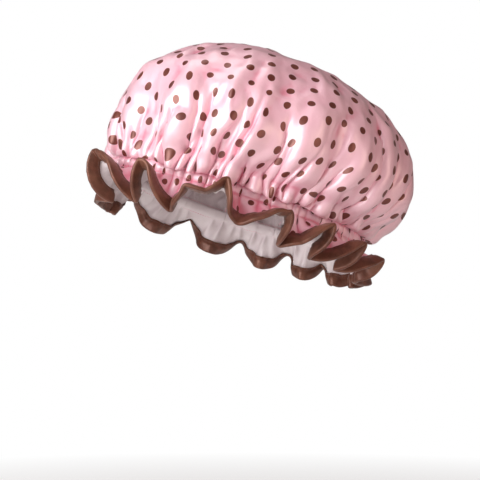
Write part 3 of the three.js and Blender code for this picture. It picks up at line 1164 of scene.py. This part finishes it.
def satinFinish(look):
    finish = Finish("spottedSatin", look["shader"])
    foldShadingMask = finish.node("ShaderNodeAttribute", {}, 2, attribute_name="foldShading")
    # painted light: the ridges of the folds are painted a paler pink
    pink = finish.blend(look["pink"], look["paintedLightOnRidges"], (foldShadingMask * -0.6).clamped())
    # painted shade: the valleys of the folds are painted a deeper pink
    pink = finish.blend(pink, look["paintedShadeInFolds"], (foldShadingMask * 0.9).clamped() * 0.8)
    threads = finish.cut(cutWidth)
    mottle = finish.noise(threads, 60.0, 3.0)
    dot = finish.blend(look["dot"], look["dotPale"], (mottle - 0.35).clamped())
    mask = dotMask(finish, look)
    finish.feed("Base Color", finish.blend(pink, dot, mask))
    finish.feed("Metallic", mask * look["dotMetal"])
    finish.feed("Coat Weight", look["coat"] - mask * 0.75)
    finish.feed("Roughness", mottle * 0.07 + (look["shader"]["Roughness"] - 0.035))
    crinkle = finish.noise(threads, 95.0, 4.0, 0.55)
    weave = finish.ribs(threads, 900.0, Distortion=0.4)
    bumped = finish.bump(crinkle, 0.5, look["crinkle"])
    finish.feed("Normal", finish.bump(weave, 0.12, 0.00005, bumped))
    return finish


liningLook = {
    "film": colour(232, 222, 222),
    "shade": colour(206, 190, 194),
    "shader": {"Roughness": 0.28, "Specular IOR Level": 0.5, "Coat Roughness": 0.2},
    "crinkle": 0.0008,
}


def liningFinish(look):
    finish = Finish("waterproofFilm", look["shader"])
    onFilm = finish.cut(cutWidth)
    cloudy = finish.noise(onFilm, 35.0, 4.0)
    finish.feed("Base Color", finish.blend(look["film"], look["shade"], (cloudy * 1.4 - 0.4).clamped()))
    crinkle = finish.noise(onFilm, 70.0, 5.0, 0.6)
    finish.feed("Normal", finish.bump(crinkle, 0.5, look["crinkle"]))
    return finish


tapeLook = {
    "brown": colour(106, 61, 48),
    "pale": colour(162, 112, 88),
    "dark": colour(42, 18, 12),
    "shader": {
        "Roughness": 0.34,
        "Sheen Weight": 0.12,
        "Sheen Roughness": 0.35,
        "Sheen Tint": (0.9, 0.7, 0.6, 1),
        "Specular IOR Level": 0.42,
        "Metallic": 0.25,
    },
    "ribScale": 420.0,
}


def tapeFinish(look):
    finish = Finish("brownTape", look["shader"])
    onTape = finish.cut(mapUnit)
    mottle = finish.noise(onTape, 160.0, 3.0)
    cloudy = finish.noise(onTape, 42.0, 2.0)
    brown = finish.blend(look["brown"], look["dark"], (mottle * 1.8 - 0.6).clamped())
    brown = finish.blend(brown, look["pale"], (cloudy * 2.4 - 1.0).clamped() * 0.45)
    ribs = finish.ribs(onTape, look["ribScale"], Distortion=0.6, Detail=1.0)
    finish.feed("Base Color", finish.blend(brown, look["pale"], ribs * 0.25))
    bumped = finish.bump(ribs, 0.25, 0.00008)
    finish.feed("Normal", finish.bump(mottle, 0.3, 0.0004, bumped))
    return finish


elasticLook = {"pale": colour(240, 238, 234), "shade": colour(214, 210, 204), "ribScale": 420.0}


def elasticFinish(look):
    finish = Finish("wovenElastic", {"Roughness": 0.75, "Sheen Weight": 0.2})
    ribs = finish.ribs(finish.cut(mapUnit), look["ribScale"], "Y", Distortion=0.3)
    finish.feed("Base Color", finish.blend(look["shade"], look["pale"], ribs))
    finish.feed("Normal", finish.bump(ribs, 0.5, 0.0002))
    return finish


def threadFinish(name, light, dark):
    finish = Finish(name, {"Roughness": 0.5, "Sheen Weight": 0.3})
    twist = finish.ribs(finish.node("ShaderNodeTexCoord", {}, 3), 2200.0)
    finish.feed("Base Color", finish.blend(dark, light, twist))
    return finish


satinFinish(satinLook).paint(satin)
liningFinish(liningLook).paint(lining)
tapeFinish(tapeLook).paint(binding)
elasticFinish(elasticLook).paint(elastic)
threadFinish("pinkThread", colour(240, 170, 186), colour(214, 130, 150)).paint(tunnelThread)
threadFinish("brownThread", colour(120, 78, 62), colour(84, 50, 40)).paint(hemThread)
print("finishes painted")

# Studio
studio = {
    "floorHeight": -0.3,
    "floorSize": 16.0,
    "fadeFrom": 0.25,
    "fadeTo": 0.9,
    "ambient": 0.17,
    "ambientTint": (1.0, 0.82, 0.8, 1),
    "aim": (0, 0, 0.04),
}
lamps = {  # each place as the camera sees it: right, up and near
    "keyLight": {"place": (-1.4, 0.75, 1.15), "power": 48, "size": 2.0, "tint": (1, 1, 1)},
    "fillLight": {"place": (1.6, 0.4, 1.2), "power": 9.5, "size": 1.4, "tint": (1.0, 0.72, 0.6)},
    "topLight": {"place": (-0.3, 1.9, -0.3), "power": 7, "size": 1.2, "tint": (1.0, 0.92, 0.9)},
    "frontLight": {"place": (-1.0, -0.35, 1.5), "power": 8, "size": 1.5, "tint": (1.0, 0.9, 0.92)},
}

bpy.ops.object.select_all(action="DESELECT")
bpy.ops.mesh.primitive_plane_add(size=studio["floorSize"], location=(0, 0, studio["floorHeight"]))
floor = bpy.context.object
floor.name = "studioFloor"
fixPlace()
floorFinish = Finish("paleFloor", {"Roughness": 0.9, "Base Color": (0.86, 0.86, 0.86, 1)})
seen = floorFinish.node("ShaderNodeLightPath", {}, "Is Camera Ray")
spot = floorFinish.node("ShaderNodeTexCoord", {}, "Object")
fromMiddle = floorFinish.node("ShaderNodeVectorMath", {0: spot}, "Value", operation="LENGTH")
away = ((fromMiddle - studio["fadeFrom"]) / (studio["fadeTo"] - studio["fadeFrom"])).clamped()
white = floorFinish.node("ShaderNodeEmission", {"Strength": 1.0})
faded = floorFinish.node("ShaderNodeMixShader", {0: away * seen, 2: white})
floorFinish.tree.links.new(floorFinish.shader.outputs[0], faded.socket.node.inputs[1])
floorFinish.tree.links.new(faded.socket, floorFinish.tree.nodes["Material Output"].inputs["Surface"])
floorFinish.paint(floor)

# The camera sees the world white, and everything else gets a dim warm light from it.
world = bpy.data.worlds.new("studioWorld")
bpy.context.scene.world = world
world.use_nodes = True
nodes, links = world.node_tree.nodes, world.node_tree.links
path = nodes.new("ShaderNodeLightPath")
strength = nodes.new("ShaderNodeMath")
strength.operation = "MAXIMUM"
strength.inputs[1].default_value = studio["ambient"]
tinted = nodes.new("ShaderNodeMixRGB")
tinted.inputs["Color1"].default_value = studio["ambientTint"]
tinted.inputs["Color2"].default_value = (1, 1, 1, 1)
for socket in (strength.inputs[0], tinted.inputs["Fac"]):
    links.new(path.outputs["Is Camera Ray"], socket)
links.new(tinted.outputs["Color"], nodes["Background"].inputs["Color"])
links.new(strength.outputs[0], nodes["Background"].inputs["Strength"])

for name, lamp in lamps.items():
    bpy.ops.object.light_add(type="AREA", location=place(*lamp["place"]))
    light = bpy.context.object
    light.name = name
    light.data.energy = lamp["power"]
    light.data.shape = "DISK"
    light.data.size = lamp["size"]
    light.data.color = lamp["tint"]
    aimAt(light, studio["aim"])
bpy.context.scene.view_settings.view_transform = "Standard"
print("studio lit")

for piece, node, slotName in (
    (satin, "satin_shell", "satin"),
    (lining, "waterproof_lining", "lining"),
    (binding, "edge_binding", "binding"),
    (elastic, "elastic_band", "elastic"),
):
    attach(piece, "root")
    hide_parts(node)
for piece, slotName in ((tunnelThread, "satin"), (hemThread, "binding")):
    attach(piece, "root")
